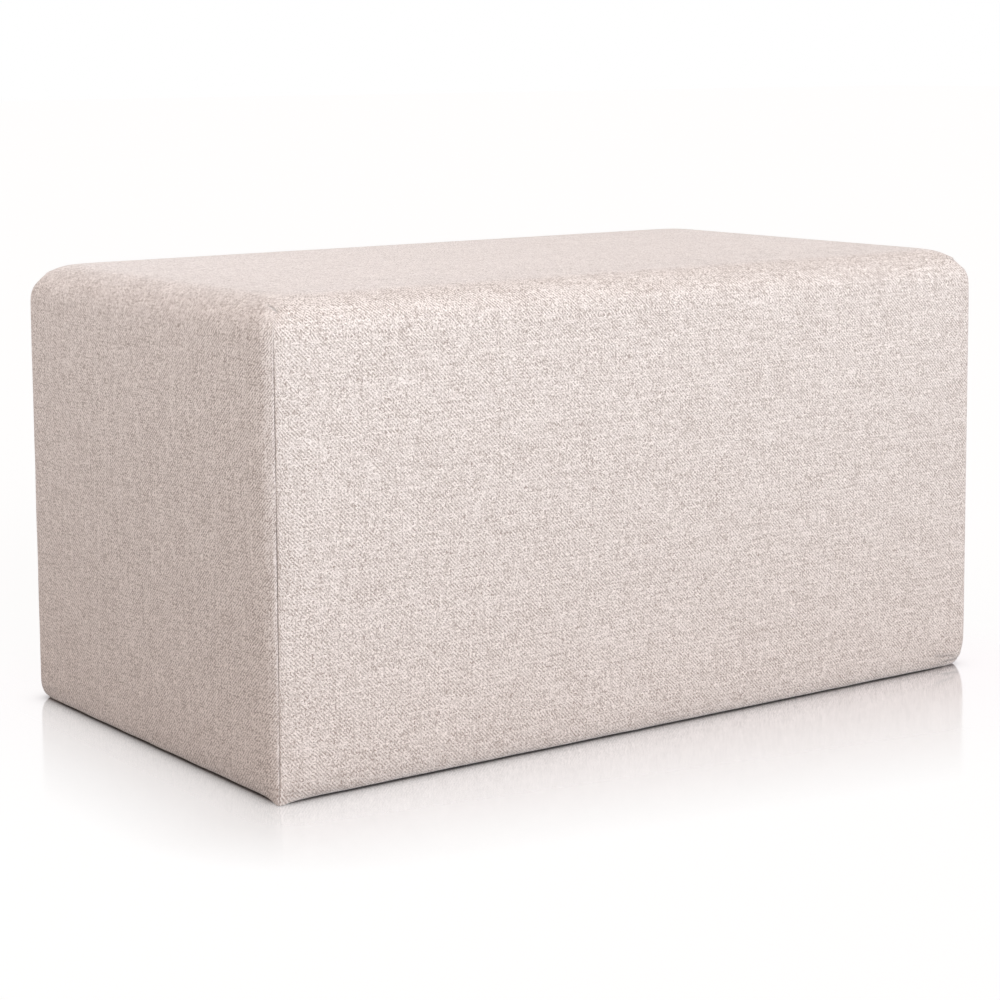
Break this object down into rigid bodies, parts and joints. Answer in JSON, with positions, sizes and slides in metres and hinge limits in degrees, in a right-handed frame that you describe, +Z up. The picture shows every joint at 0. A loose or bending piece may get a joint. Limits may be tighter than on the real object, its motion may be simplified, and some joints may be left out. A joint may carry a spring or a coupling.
{
  "type": "upholstered pouf",
  "caption": "Long rectangular pouf under one piece of cream and grey melange twill, with rounded padded top edges, an upright seam at each corner and a dark cloth beneath.",
  "frame": {"origin": "centre of the footprint, on the floor", "axes": "+X along the length, +Y to the back, +Z up; the long side at -Y is the front"},
  "size_m": [0.8, 0.45, 0.42],
  "materials": {
    "cover_cloth": "matt melange twill, cream with grey-beige yarns",
    "base_cloth": "matt black spun-bonded cloth"
  },
  "bodies": {
    "root": {"cover": "cover_cloth", "base_cloth": "base_cloth"}
  },
  "joints": []
}
